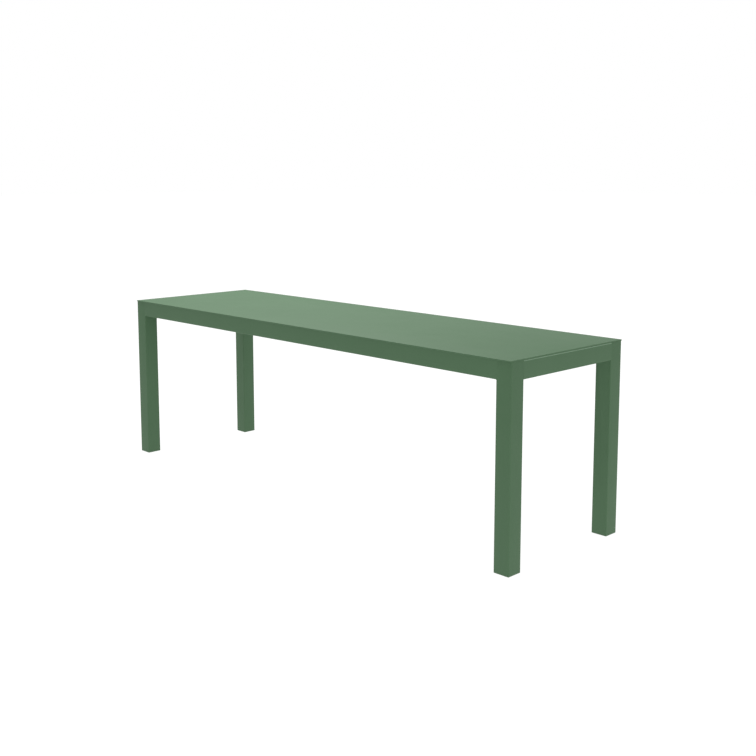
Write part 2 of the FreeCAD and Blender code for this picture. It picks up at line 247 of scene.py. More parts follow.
def plane(origin, across, up):
    """Puts what is drawn in a flat plane into the bench, by its two directions there."""
    across = Vector(across)
    up = Vector(up)
    along = across.cross(up)
    matrix = Matrix((across, up, along)).transposed().to_4x4()
    return Matrix.Translation(origin) @ matrix


print("a screw driven from below faces", facing((0, 0, 0), (0, 0, -1)) @ Vector((0, 0, 1)))

# %% [markdown]
# ## From a skin to a piece
#
# A piece is an object with a finish, and the CAD nodes that it stands for are hidden. Flat faces
# stay flat and rolled corners look smooth if every face is smooth and only the edges over about
# 35 degrees are sharp. Holes are cut with a boolean before that, and a narrow bevel eases the
# edges of sheet parts the way a deburring tool does.


# %% Making and cutting a piece
def evaluated(piece):
    """Applies the piece's modifiers to its mesh."""
    graph = bpy.context.evaluated_depsgraph_get()
    mesh = bpy.data.meshes.new_from_object(piece.evaluated_get(graph))
    piece.modifiers.clear()
    plain = piece.data
    piece.data = mesh
    bpy.data.meshes.remove(plain)
    return piece


def object_of(name, made):
    """An object in the scene with the bmesh as its mesh."""
    mesh = bpy.data.meshes.new(name)
    made.to_mesh(mesh)
    made.free()
    piece = bpy.data.objects.new(name, mesh)
    bpy.context.scene.collection.objects.link(piece)
    return piece


def cut(piece, cutters):
    """Cuts a list of bmesh solids out of a piece."""
    tool = object_of("tool", joined(cutters))
    modifier = piece.modifiers.new("holes", "BOOLEAN")
    modifier.operation = "DIFFERENCE"
    modifier.solver = "EXACT"
    modifier.object = tool
    evaluated(piece)
    bpy.data.objects.remove(tool)
    return piece


# %% Deburring and finishing a piece
SHARP_ANGLE = math.radians(35)
BEVEL_ANGLE = math.radians(50)


def deburred(piece, width):
    """Eases every sharp edge of a piece."""
    modifier = piece.modifiers.new("deburr", "BEVEL")
    modifier.width = width
    modifier.segments = 2
    modifier.limit_method = "ANGLE"
    modifier.angle_limit = BEVEL_ANGLE
    modifier.use_clamp_overlap = True
    return evaluated(piece)


def finished(piece, finishes, slot, *stands_for):
    """Gives a piece its finishes and smooth faces, and says what it stands for."""
    piece.data.materials.clear()
    for finish in finishes:
        piece.data.materials.append(finish)
    for face in piece.data.polygons:
        face.use_smooth = True
    piece.data.set_sharp_from_angle(angle=SHARP_ANGLE)
    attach(piece, "root")
    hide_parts(*stands_for)
    print(piece.name, "faces", len(piece.data.polygons), "stands for", ", ".join(stands_for))
    return piece


print("edges over", round(math.degrees(SHARP_ANGLE)), "degrees stay sharp")

# %% [markdown]
# ## Powder coat
#
# Powder is sprayed on dry and melts into a film about 0.08 mm thick. Three things tell it from
# plastic or wet paint. It has a faint orange peel, soft dimples 1 to 3 mm across. Its film is
# a little thicker in some places than in others, so its colour and its sheen drift slowly
# over a hand's width. And very fine flecks of pigment show from close by.
#
# Each of them is a noise texture at its own scale, read from the object's own coordinates, so
# that the pattern is in metres and runs on from one tube to the next as on a bench that was
# coated after it was welded. The dimples only bend the light, so they go to the bump; the
# drift goes to colour and roughness. A picture of paint would be easier, but it would repeat
# on a seat this long.


# %% A new finish and its noise
def new_finish(name):
    """An empty node material with its shader and its object coordinates."""
    finish = bpy.data.materials.new(name)
    finish.use_nodes = True
    tree = finish.node_tree
    shader = next(n for n in tree.nodes if n.type == "BSDF_PRINCIPLED")
    place = tree.nodes.new("ShaderNodeTexCoord")
    return finish, tree, shader, place.outputs["Object"]


def noise(tree, place, scale, detail=2.0, roughness=0.5):
    """A soft random pattern that repeats about scale times in a metre."""
    node = tree.nodes.new("ShaderNodeTexNoise")
    node.inputs["Scale"].default_value = scale
    node.inputs["Detail"].default_value = detail
    node.inputs["Roughness"].default_value = roughness
    tree.links.new(place, node.inputs["Vector"])
    return node.outputs["Fac"]


def stretched(tree, place, scale):
    """Coordinates scaled differently along each axis, for grain with a direction."""
    node = tree.nodes.new("ShaderNodeMapping")
    node.inputs["Scale"].default_value = scale
    tree.links.new(place, node.inputs["Vector"])
    return node.outputs["Vector"]


# %% Colour and dimples from a noise
def spread(tree, value, low, high, start=0.3, end=0.7):
    """Maps the part of a noise between start and end, which is most of it, onto a range."""
    node = tree.nodes.new("ShaderNodeMapRange")
    node.inputs["From Min"].default_value = start
    node.inputs["From Max"].default_value = end
    node.inputs["To Min"].default_value = low
    node.inputs["To Max"].default_value = high
    tree.links.new(value, node.inputs["Value"])
    return node.outputs["Result"]


def blended(tree, share, first, second):
    """A colour between two, each a triple or an output."""
    node = tree.nodes.new("ShaderNodeMix")
    node.data_type = "RGBA"
    tree.links.new(share, node.inputs["Factor"])
    for socket, colour in ((node.inputs[6], first), (node.inputs[7], second)):
        if isinstance(colour, tuple):
            socket.default_value = (*colour, 1.0)
        else:
            tree.links.new(colour, socket)
    return node.outputs[2]


def dimpled(tree, shader, height, depth, under=None):
    """Bends the light by a height, in metres; returns the bent normal."""
    node = tree.nodes.new("ShaderNodeBump")
    node.inputs["Strength"].default_value = 1.0
    node.inputs["Distance"].default_value = depth
    tree.links.new(height, node.inputs["Height"])
    if under is not None:
        tree.links.new(under, node.inputs["Normal"])
    tree.links.new(node.outputs["Normal"], shader.inputs["Normal"])
    return node.outputs["Normal"]


# %% [markdown]
# ### One coat, and a lighter copy that paints a highlight
#
# Scales count how often a pattern repeats in a metre, so a peel of 420 has dimples a little over
# 2 mm apart. The coat is one function that is told how far its colours are lightened towards a
# pale green: not at all on the bench at large, and about a third on the few rounded edges that
# are open to view. That lighter copy is a painted highlight for the light those edges catch.

# %% The green coat
COAT_THIN = (0.0600, 0.1330, 0.0622)
COAT_THICK = (0.0560, 0.1270, 0.0582)
COAT_FLECK = (0.0700, 0.1460, 0.0722)
# A pale green that the coat is lightened towards for a painted highlight.
PAINTED_HIGHLIGHT_GREEN = (0.50, 0.72, 0.52)
PAINTED_HIGHLIGHT_SHARE = 0.31
COAT_ROUGHNESS = (0.59, 0.62)
COAT_SHINE = 0.4
DRIFT_SCALE = 7.0
SHEEN_SCALE = 16.0
PEEL_SCALE = 420.0
PEEL_DEPTH = 0.020 * MM
GRAIN_SCALE = 2100.0
GRAIN_DEPTH = 0.003 * MM
FLECK_SCALE = 1500.0
FLECK_STRENGTH = 0.55
FLECKS_FROM = 0.62
FLECKS_TO = 0.72


def toward_painted_highlight(colour, share):
    """A colour of the coat moved by a share towards a pale green, for a painted highlight."""
    return tuple((1 - share) * coat + share * under for coat, under in zip(colour, PAINTED_HIGHLIGHT_GREEN))


def green_coat(name, share):
    """The coat, lightened by a share towards a pale green, which paints a highlight."""
    finish, tree, shader, place = new_finish(name)
    thin, thick, fleck = [toward_painted_highlight(colour, share) for colour in (COAT_THIN, COAT_THICK, COAT_FLECK)]
    drift = noise(tree, place, DRIFT_SCALE, detail=3.0)
    body = blended(tree, spread(tree, drift, 0.0, 1.0), thin, thick)
    specks = noise(tree, place, FLECK_SCALE, detail=1.0)
    flecks = spread(tree, specks, 0.0, FLECK_STRENGTH, FLECKS_FROM, FLECKS_TO)
    colour = blended(tree, flecks, body, fleck)
    tree.links.new(colour, shader.inputs["Base Color"])
    sheen = noise(tree, place, SHEEN_SCALE, detail=4.0)
    tree.links.new(spread(tree, sheen, *COAT_ROUGHNESS), shader.inputs["Roughness"])
    peel = noise(tree, place, PEEL_SCALE, detail=2.0, roughness=0.45)
    grain = noise(tree, place, GRAIN_SCALE, detail=1.0)
    under = dimpled(tree, shader, peel, PEEL_DEPTH)
    dimpled(tree, shader, grain, GRAIN_DEPTH, under)
    shader.inputs["Specular IOR Level"].default_value = COAT_SHINE
    return finish


COAT = green_coat("green_powder_coat", 0.0)
# A lighter copy of the coat: a painted highlight for the rounded edges of the end rails.
HIGHLIGHT_COAT = green_coat("green_coat_painted_highlight", PAINTED_HIGHLIGHT_SHARE)
print("made", COAT.name, "with", len(COAT.node_tree.nodes), "nodes")

# %% [markdown]
# ## Moulded nylon
#
# The foot glides are moulded nylon in the same green, and the lock nuts hold a ring of pale
# nylon. A mould leaves a fine even grain, with faint clouds where the melt met. One function
# makes both, because they differ only in colour, sheen and depth of grain.

# %% Nylon
CLOUD_SCALE = 60.0
DULLNESS_SCALE = 240.0
MOULD_GRAIN_SCALE = 1600.0
DULLNESS_SPREAD = 0.04


def moulded_nylon(name, dark, light, roughness, grain_depth):
    finish, tree, shader, place = new_finish(name)
    clouds = spread(tree, noise(tree, place, CLOUD_SCALE, 3.0), 0.0, 1.0)
    tree.links.new(blended(tree, clouds, dark, light), shader.inputs["Base Color"])
    dullness = noise(tree, place, DULLNESS_SCALE)
    rough = spread(tree, dullness, roughness - DULLNESS_SPREAD, roughness + DULLNESS_SPREAD)
    tree.links.new(rough, shader.inputs["Roughness"])
    dimpled(tree, shader, noise(tree, place, MOULD_GRAIN_SCALE, 2.0), grain_depth)
    return finish


GLIDE_NYLON = moulded_nylon(
    "green_glide_nylon",
    dark=(0.0590, 0.1290, 0.0610),
    light=(0.0680, 0.1420, 0.0700),
    roughness=0.56,
    grain_depth=0.012 * MM,
)
RING_NYLON = moulded_nylon(
    "pale_ring_nylon",
    dark=(0.52, 0.54, 0.55),
    light=(0.60, 0.61, 0.60),
    roughness=0.45,
    grain_depth=0.006 * MM,
)
print("made", GLIDE_NYLON.name, "and", RING_NYLON.name)

# %% [markdown]
# ## Bare metals
#
# The hardware is zinc plated: bright, slightly blue, and mottled where the passivation is
# thicker. The connector plugs are sawn from aluminium bar, with fine lines along the bar. Both
# are the same metal shader with another pattern: a mottle, and a noise that is stretched along
# Y into lines.

# %% Bare metals
ZINC_DARK = (0.50, 0.53, 0.57)
ZINC_LIGHT = (0.66, 0.66, 0.64)
ZINC_ROUGHNESS = (0.28, 0.42)
MOTTLE_SCALE = 180.0
CRYSTAL_SCALE = 2600.0
CRYSTAL_DEPTH = 0.003 * MM
SAWN_DARK = (0.56, 0.57, 0.58)
SAWN_LIGHT = (0.70, 0.70, 0.70)
SAWN_ROUGHNESS = (0.30, 0.44)
SAW_LINES = (2600.0, 60.0, 2600.0)
SAW_LINE_DEPTH = 0.010 * MM


def bare_metal(tree, shader, pattern, dark, light, roughness):
    """Makes a shader metal, with a colour and a sheen that follow a pattern."""
    shade = blended(tree, spread(tree, pattern, 0.0, 1.0), dark, light)
    tree.links.new(shade, shader.inputs["Base Color"])
    tree.links.new(spread(tree, pattern, *roughness), shader.inputs["Roughness"])
    shader.inputs["Metallic"].default_value = 1.0


def zinc():
    finish, tree, shader, place = new_finish("zinc_plating")
    mottle = noise(tree, place, MOTTLE_SCALE, 4.0, 0.6)
    bare_metal(tree, shader, mottle, ZINC_DARK, ZINC_LIGHT, ZINC_ROUGHNESS)
    dimpled(tree, shader, noise(tree, place, CRYSTAL_SCALE, 1.0), CRYSTAL_DEPTH)
    return finish


def sawn_aluminium():
    finish, tree, shader, place = new_finish("sawn_aluminium")
    lines = noise(tree, stretched(tree, place, SAW_LINES), 1.0, 3.0)
    bare_metal(tree, shader, lines, SAWN_DARK, SAWN_LIGHT, SAWN_ROUGHNESS)
    dimpled(tree, shader, lines, SAW_LINE_DEPTH)
    return finish


ZINC = zinc()
ALUMINIUM = sawn_aluminium()
print("made", ZINC.name, "and", ALUMINIUM.name)

# %% [markdown]
# ## Foam
#
# The damping tape is closed-cell foam, which shows as a dull black with tiny pits. A Voronoi
# texture gives the distance to the nearest of many scattered points, and that is the shape of
# packed round cells, which a noise isn't. The colour is darker towards each pit's middle, where
# the bump is lowest: a painted shade in the pits.

# %% Foam
CELL_SCALE = 2200.0
CELL_EDGE = (0.1, 0.7)
FOAM_ROUGHNESS = (0.95, 0.82)
FOAM_PIT_SHADE = (0.012, 0.012, 0.012)
FOAM_LIGHT = (0.034, 0.034, 0.034)
PIT_DEPTH = 0.06 * MM


def closed_cell_foam():
    finish, tree, shader, place = new_finish("closed_cell_foam")
    cells = tree.nodes.new("ShaderNodeTexVoronoi")
    cells.inputs["Scale"].default_value = CELL_SCALE
    tree.links.new(place, cells.inputs["Vector"])
    pits = cells.outputs["Distance"]
    # The pit middles get the darker colour: painted shade in the pits.
    colour = blended(tree, spread(tree, pits, 0.0, 1.0, *CELL_EDGE), FOAM_PIT_SHADE, FOAM_LIGHT)
    tree.links.new(colour, shader.inputs["Base Color"])
    tree.links.new(spread(tree, pits, *FOAM_ROUGHNESS, *CELL_EDGE), shader.inputs["Roughness"])
    dimpled(tree, shader, pits, PIT_DEPTH)
    return finish


FOAM = closed_cell_foam()
print("made", FOAM.name)

# %% [markdown]
# ## The seat plate
#
# The seat is one laser-cut sheet, 3 mm thick. Its corners are cut to a small radius, and its
# edges are broken all round. The rings go up the outside: the broken lower edge, the cut
# face, the broken upper edge, and then the flat top, which is the cap. The coat draws its
# highlights from those broken edges, so each has several steps.


# %% Seat plate
def broken_edge(half_x, half_y, corner, z, edge, upward):
    """Rings over a quarter-round edge, from the side face to the flat, or back."""
    rings = []
    for step in range(EASE_STEPS + 1):
        angle = math.radians(90 * step / EASE_STEPS)
        inset = edge * (1 - math.cos(angle))
        rise = edge * (math.sin(angle) - 1)
        height = z + rise if upward else z - rise
        rings.append(rounded_square(half_x - inset, half_y - inset, corner - inset, height))
    return rings if upward else rings[::-1]


def coated_seat_plate():
    low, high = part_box("seat_plate")
    half = (high - low) / 2
    centre = (high + low) / 2
    rings = broken_edge(half.x, half.y, PLATE_CORNER, -half.z, PLATE_EDGE, False)
    rings += broken_edge(half.x, half.y, PLATE_CORNER, half.z, PLATE_EDGE, True)
    plate = object_of("seat_plate_coated", moved(skin(rings), Matrix.Translation(centre)))
    return finished(plate, [COAT], "green_powder_coat", "seat_plate")


coated_seat_plate()

# %% [markdown]
# ## The tubes
#
# Legs and rails are cut from one bar of square tube. Each is a closed loop of rings: up the
# outside, over the sawn end, down the bore and back. A leg's ends are open saw cuts that a hand
# can touch, so they are eased. A rail's ends are left square. On the long rails they are
# welded to the legs and ground level, and on the end rails they fit against them.

# %% Tubes
DRILL_POINTS = 40
TURNED_FROM_Z = (Matrix.Rotation(math.pi / 2, 4, "Y"), Matrix.Rotation(-math.pi / 2, 4, "X"), Matrix())


def tube_rings(half, length, ease):
    """Rings of an upright tube with its middle at the origin."""
    bore = half - TUBE_WALL
    end = length / 2
    outside = []
    inside = []
    for step in range(EASE_STEPS + 1):
        angle = math.radians(90 * step / EASE_STEPS)
        inset = ease * (1 - math.cos(angle))
        rise = end - ease * (1 - math.sin(angle))
        outside.append((half - inset, TUBE_CORNER - inset, rise))
        inside.append((bore + inset, BORE_CORNER + inset, rise))
        if ease == 0:
            break
    half_loop = outside + inside[::-1]
    other_half = [(size, corner, -z) for size, corner, z in half_loop[::-1]]
    return [rounded_square(size, size, corner, z) for size, corner, z in half_loop + other_half]


def drill(centre, axis, radius, depth):
    """A round cutter whose middle is at a point."""
    rings = [circle(radius, z, DRILL_POINTS) for z in (-depth / 2, depth / 2)]
    return moved(skin(rings), facing(centre, axis))


def coated_tube(node, axis, ease, holes, copes=()):
    """A tube in the place of a CAD tube that lies along an axis: 0 X, 1 Y or 2 Z.

    Each of the copes is a list of solids that don't touch, and they are cut one after another.
    """
    low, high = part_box(node)
    size = high - low
    half = size[(axis + 1) % 3] / 2
    matrix = Matrix.Translation((low + high) / 2) @ TURNED_FROM_Z[axis]
    tube = object_of(f"{node}_coated", moved(skin(tube_rings(half, size[axis], ease), "joined"), matrix))
    for cutters in (*copes, holes):
        cut(tube, cutters)
    return finished(tube, [COAT], "green_powder_coat", node)


# %% [markdown]
# ### Where the holes are
#
# Every hole in a tube is there for something: a rivet nut in the wall, a locking screw from
# below, or a drain that lets out the water that finds its way into every outdoor tube. The
# rivet nuts and screws are in the frame, so their holes take their places from them. Only the
# drains have places of their own.

# %% Holes for the hardware
RIVET_HOLE = 4.55 * MM
SCREW_HOLE = 3.3 * MM
DRAIN_HOLE = 3.0 * MM
DRAIN_INSET = 60 * MM
RIVET_FLANGE = 0.8 * MM
THROUGH_WALL = 3 * TUBE_WALL


def near(point, node, reach=1 * MM):
    """True for a point in a node's box, or within reach of it."""
    low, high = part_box(node)
    return all(low[i] - reach <= point[i] <= high[i] + reach for i in range(3))


def rivet_seat(low, high):
    """Where a rivet nut's flange lies on its wall: the end nearer the bench's middle line."""
    inner = low.y if abs(low.y) < abs(high.y) else high.y
    outward = 1 if inner > 0 else -1
    return Vector(((low.x + high.x) / 2, inner + outward * RIVET_FLANGE, (low.z + high.z) / 2))


def rivet_holes(group, node):
    seats = [rivet_seat(low, high) for low, high in solid_boxes(group)]
    return [drill(seat, (0, 1, 0), RIVET_HOLE, THROUGH_WALL) for seat in seats if near(seat, node)]


def drain(node, shift):
    low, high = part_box(node)
    centre = (low + high) / 2
    return drill(Vector((centre.x + shift, centre.y, low.z)), (0, 0, 1), DRAIN_HOLE, THROUGH_WALL)


print("rivet nuts in the front rail:", len(rivet_holes("bracket_rivet_nuts", "front_rail")))


# %% Legs and rails
for side in ("front", "rear"):
    for end in ("left", "right"):
        leg = f"{side}_{end}_leg"
        coated_tube(leg, 2, EASED_END, rivet_holes("plug_rivet_nuts", leg))
    rail = f"{side}_rail"
    rail_low, rail_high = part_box(rail)
    drain_shift = (rail_high.x - rail_low.x) / 2 - DRAIN_INSET
    holes = rivet_holes("bracket_rivet_nuts", rail)
    holes += [drain(rail, -drain_shift), drain(rail, drain_shift)]
    coated_tube(rail, 0, 0, holes)

# %% [markdown]
# ### Coped ends
#
# An end rail meets two round-edged legs, and a plain saw cut would leave a groove there as wide
# as the rounding. So its ends are coped by laser: the outer wall reaches over the leg's
# rounded edge and leaves only a hairline. The inner wall stops short at the leg's flat face,
# because the weld of the long rail already fills that edge. Two cuts make this shape, one
# with the leg's own rounded outline and one with a square block on the welded half.
#
# The rounded upper edges of these two rails are open to view under the plate. They get the
# lighter copy of the coat, a painted highlight, which shows as a fine light line below the seat.

# %% Coped end rails
COPE_GAP = 0.1 * MM
CUT_PAST = 1 * MM
SLOPED = 0.05
MOSTLY = 0.5


def leg_outline(leg):
    low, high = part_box(leg)
    half = (high.x - low.x) / 2 + COPE_GAP
    rings = [rounded_square(half, half, TUBE_CORNER + COPE_GAP, z) for z in (low.z, high.z + CUT_PAST)]
    return moved(skin(rings), Matrix.Translation(on_axis(low, high, 0)))


def welded_half(leg):
    low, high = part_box(leg)
    half = (high.x - low.x) / 2 + COPE_GAP
    inward = Vector((-1 if low.x > 0 else 1, 0, 0))
    rings = [rounded_square(half / 2, half, 0, z, 1) for z in (low.z, high.z + CUT_PAST)]
    return moved(skin(rings), Matrix.Translation(on_axis(low, high, 0) + inward * half / 2))


def on_rounded_edge(face, low, high):
    """True on the outside of the two upper edges of an end rail, which slopes out and up."""
    from_side = min(face.center.x - low.x, high.x - face.center.x)
    at_edge = face.center.z > high.z - TUBE_CORNER and from_side < TUBE_CORNER
    toward_leg = abs(face.normal.y) > MOSTLY
    return at_edge and not toward_leg and face.normal.z > SLOPED and abs(face.normal.x) > SLOPED


for end in ("left", "right"):
    rail = f"{end}_end_rail"
    rail_low, rail_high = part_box(rail)
    legs = [f"{side}_{end}_leg" for side in ("front", "rear")]
    copes = [[leg_outline(leg) for leg in legs], [welded_half(leg) for leg in legs]]
    holes = [drain(rail, 0)]
    for low, high in solid_boxes("locking_screws"):
        spot = on_axis(low, high, rail_low.z)
        if near(spot, rail):
            holes.append(drill(spot, (0, 0, 1), SCREW_HOLE, THROUGH_WALL))
    tube = coated_tube(rail, 1, 0, holes, copes)
    # The lighter coat on the rounded upper edges paints a highlight there.
    tube.data.materials.append(HIGHLIGHT_COAT)
    painted_highlight_faces = [face for face in tube.data.polygons if on_rounded_edge(face, rail_low, rail_high)]
    for face in painted_highlight_faces:
        face.material_index = 1
    print(rail, "faces on its rounded upper edges", len(painted_highlight_faces))

# %% [markdown]
# ## The ground welds
#
# A leg's corner is round, and a rail's sawn end is flat, so a groove 2 mm wide is left where
# they meet. The weld fills it and is ground off level with both faces. Just under the rail
# the grinder runs out: the fill gets thinner over a millimetre and a half and ends on the
# leg's round corner. Without this run-out the fill would end in a small hard step.

# %% Ground welds
RUN_OUT = 1.5 * MM
RUN_OUT_STEPS = 6
THINNEST = 0.04


def weld_ring(corner, toward_x, toward_y, fullness, z):
    """One ring of the fill between a tube's square corner and its rolled one."""
    centre = corner + Vector((toward_x, toward_y, 0)) * TUBE_CORNER
    rolled = []
    filled = []
    for step in range(CORNER_STEPS + 1):
        angle = math.radians(90 * step / CORNER_STEPS)
        across = Vector((-toward_x * math.cos(angle), -toward_y * math.sin(angle), 0))
        on_leg = centre + across * TUBE_CORNER
        reach = TUBE_CORNER / max(abs(across.x), abs(across.y))
        on_faces = centre + across * reach
        rolled.append(Vector((on_leg.x, on_leg.y, z)))
        level = on_leg.lerp(on_faces, fullness)
        filled.append(Vector((level.x, level.y, z)))
    return filled + rolled[::-1][1:-1]


def groove_fill(leg, rail, face):
    """face is -1 for the leg's front face and 1 for its rear one."""
    leg_low, leg_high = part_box(leg)
    rail_low, rail_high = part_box(rail)
    on_right = leg_low.x > 0
    corner = Vector((leg_low.x if on_right else leg_high.x, leg_high.y if face > 0 else leg_low.y, 0))
    toward_x = 1 if on_right else -1
    toward_y = -face
    rings = []
    for step in range(RUN_OUT_STEPS):
        share = step / RUN_OUT_STEPS
        smooth_share = share * share * (3 - 2 * share)
        fullness = THINNEST + (1 - THINNEST) * smooth_share
        z = rail_low.z - RUN_OUT * (1 - share)
        rings.append(weld_ring(corner, toward_x, toward_y, fullness, z))
    rings.append(weld_ring(corner, toward_x, toward_y, 1.0, rail_low.z))
    rings.append(weld_ring(corner, toward_x, toward_y, 1.0, rail_high.z))
    return skin(rings)


fills = []
for side, end in CORNERS:
    for face in (-1, 1):
        fills.append(groove_fill(f"{side}_{end}_leg", f"{side}_rail", face))
finished(object_of("ground_welds", joined(fills)), [COAT], "green_powder_coat", "frame_welds")

# %% [markdown]
# ## The seat seams
#
# The same groove runs along each long rail, between its rounded upper edge and the plate. It
# would hold water, so it is filled from leg to leg and ground flush too, and the front of the
# bench is one flat face from the plate down. The ring of the ground welds serves again, drawn
# at the origin and laid along the rail. The end rails have no such fill, so their rounded
# edges stay open.


# %% Seat seams
def seam_fill(rail):
    low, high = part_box(rail)
    outward = 1 if low.y > 0 else -1
    face = high.y if outward > 0 else low.y
    half = (high.x - low.x) / 2
    rings = [weld_ring(Vector((0, 0, 0)), 1, 1, 1.0, z) for z in (-half, half)]
    place = plane(Vector(((low.x + high.x) / 2, face, high.z)), (0, -outward, 0), (0, 0, -1))
    return moved(skin(rings), place)


seams = joined([seam_fill(f"{side}_rail") for side in ("front", "rear")])
finished(object_of("seat_seam_fills", seams), [COAT], "green_powder_coat", "seat_seams")

# %% [markdown]
# ## The foot glides
#
# A glide is one moulding: a head flush with the leg, which the bench stands on, and a stem
# with fins that grip the bore. Read from the middle of the sole outwards and up, it is a row
# of rounded squares, so its rings come from a list of half-sizes and heights. Two shallow
# grooves in the sole let it grip wet paving, and the head's top edge is eased, which leaves
# the fine line between leg and glide.

# %% Foot glides
GLIDE_EDGE = 1.0 * MM
GLIDE_HEAD = 4.0 * MM
GLIDE_WALL = 3.0 * MM
FIN_CLEARANCE = 0.05 * MM
FIN_DEPTH = 3.0 * MM
FIN = 1.4 * MM
FIN_PITCH = 6.0 * MM
FIN_COUNT = 3
FIN_CORNER = 1.0 * MM
SOLE_GROOVES = (8 * MM, 13 * MM)
GROOVE = 0.6 * MM
GLIDE_REACH = 22 * MM
GLIDE_CENTRE = 2 * MM


def glide_profile(half):
    """(half-size, corner, height) from the sole's middle, round the outside and back inside."""
    bore = half - TUBE_WALL
    fin = bore - FIN_CLEARANCE
    stem = fin - FIN_DEPTH
    hollow = stem - GLIDE_WALL
    rows = [(GLIDE_CENTRE, FIN_CORNER, 0.0)]
    for groove in SOLE_GROOVES:
        rows.append((groove - GROOVE, FIN_CORNER, 0.0))
        rows.append((groove - GROOVE / 2, FIN_CORNER, GROOVE))
        rows.append((groove + GROOVE / 2, FIN_CORNER, GROOVE))
        rows.append((groove + GROOVE, FIN_CORNER, 0.0))
    for step in range(EASE_STEPS * 2 + 1):
        angle = math.radians(90 * step / (EASE_STEPS * 2))
        inset = GLIDE_EDGE * (1 - math.sin(angle))
        rows.append((half - inset, TUBE_CORNER - inset, GLIDE_EDGE * (1 - math.cos(angle))))
    for step in range(EASE_STEPS + 1):
        angle = math.radians(90 * step / EASE_STEPS)
        inset = EASED_END * (1 - math.cos(angle))
        rows.append((half - inset, TUBE_CORNER - inset, GLIDE_HEAD - EASED_END * (1 - math.sin(angle))))
    rows.append((stem, GLIDE_WALL, GLIDE_HEAD))
    for number in range(FIN_COUNT):
        base = GLIDE_HEAD + FIN_PITCH * (number + 0.5)
        rows.append((stem, GLIDE_WALL, base))
        rows.append((fin, FIN_CORNER, base + FIN / 3))
        rows.append((fin, FIN_CORNER, base + 2 * FIN / 3))
        rows.append((stem, GLIDE_WALL, base + FIN))
    top = GLIDE_HEAD + GLIDE_REACH
    rows.append((stem, GLIDE_WALL, top - EASED_END))
    rows.append((stem - EASED_END, GLIDE_WALL, top))
    rows.append((hollow + EASED_END, GLIDE_WALL / 2, top))
    rows.append((hollow, GLIDE_WALL / 2, top - EASED_END))
    rows.append((hollow, GLIDE_WALL / 2, GLIDE_HEAD + EASED_END))
    rows.append((hollow - EASED_END, GLIDE_WALL / 2, GLIDE_HEAD))
    rows.append((GLIDE_CENTRE, FIN_CORNER, GLIDE_HEAD))
    return rows


print("a glide's skin has", len(glide_profile(20 * MM)), "rings")

# %% Glides in their places
for side, end in CORNERS:
    node = f"{side}_{end}_glide"
    low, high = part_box(node)
    profile = glide_profile((high.x - low.x) / 2)
    rings = [rounded_square(size, size, corner, z) for size, corner, z in profile]
    spot = Matrix.Translation(on_axis(low, high, low.z))
    glide = object_of(f"{node}_moulded", moved(skin(rings), spot))
    finished(glide, [GLIDE_NYLON], "glide_plastic", node)

# %% [markdown]
# ## Bearers and brackets
#
# Both are folded from sheet: the bearer is a channel with two bends, the bracket an angle with
# one. A folded sheet is a ribbon: a path along its outer face, rounded at the bends, and the
# same path moved in by the thickness of the sheet. Extruding that outline gives the piece, the
# holes are cut, and the laser-cut edges are eased.

# %% Folded sheet
BEND_STEPS = 6


def rounded_path(corners, radius):
    """A path through square corners in a plane, with an arc at each one between its ends."""
    path = [Vector(corners[0])]
    for before, corner, after in zip(corners, corners[1:], corners[2:]):
        corner = Vector(corner)
        back = (Vector(before) - corner).normalized()
        ahead = (Vector(after) - corner).normalized()
        centre = corner + (back + ahead) * radius
        for step in range(BEND_STEPS + 1):
            angle = math.radians(90 * step / BEND_STEPS)
            path.append(centre - ahead * radius * math.cos(angle) - back * radius * math.sin(angle))
    path.append(Vector(corners[-1]))
    return path


def ribbon(path, wall):
    """A closed outline: the path, and the path moved to its right by the wall."""
    moved_in = []
    for number, here in enumerate(path):
        before = path[max(number - 1, 0)]
        after = path[min(number + 1, len(path) - 1)]
        normals = []
        for start, finish in ((before, here), (here, after)):
            step = finish - start
            if step.length > 0:
                normals.append(Vector((step.y, -step.x)).normalized())
        normal = sum(normals, Vector((0, 0))).normalized()
        moved_in.append(here + normal * wall / normal.dot(normals[0]))
    return path + moved_in[::-1]


def extruded(outline, length, matrix):
    """An outline in a plane, pushed half its length each way."""
    rings = [[Vector((p.x, p.y, z)) for p in outline] for z in (-length / 2, length / 2)]
    return moved(skin(rings), matrix)


print("a right-angled bend has", len(rounded_path([(0, 1), (0, 0), (1, 0)], 0.1)) - 2, "points")

# %% Stud holes
THROUGH_SHEET = 20 * MM
stud_axes = [(low + high) / 2 for low, high in solid_boxes("seat_studs")]


def stud_drills(node, radius):
    """Upright drills at each stud that passes through a node."""
    low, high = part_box(node)
    middle_z = (low.z + high.z) / 2
    drills = []
    for stud in stud_axes:
        if near(Vector((stud.x, stud.y, middle_z)), node):
            drills.append(drill(Vector((stud.x, stud.y, high.z)), (0, 0, 1), radius, THROUGH_SHEET))
    return drills


print("studs:", len(stud_axes))

# %% [markdown]
# ### Bearers
#
# A bearer is a channel that lies across the bench with its open side down. Its outline is
# drawn with across along X and up along Z, so it is pushed along Y from rail to rail. It has
# a hole for each stud of the seat.

# %% Bearers
BEARER_WALL = 2.0 * MM
BEARER_BEND = 3.0 * MM


def coated_bearer(node):
    low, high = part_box(node)
    half = (high.x - low.x) / 2
    drop = high.z - low.z
    path = rounded_path([(-half, -drop), (-half, 0), (half, 0), (half, -drop)], BEARER_BEND)
    place = plane(Vector(((low.x + high.x) / 2, 0, high.z)), (1, 0, 0), (0, 0, 1))
    channel = object_of(f"{node}_coated", extruded(ribbon(path, BEARER_WALL), high.y - low.y, place))
    cut(channel, stud_drills(node, SCREW_HOLE))
    deburred(channel, SHEET_EDGE)
    return finished(channel, [COAT], "green_powder_coat", node)


bearers = sorted(name for name in nodes if name.startswith("bearer_") and name.count("_") == 1)
for node in bearers:
    coated_bearer(node)

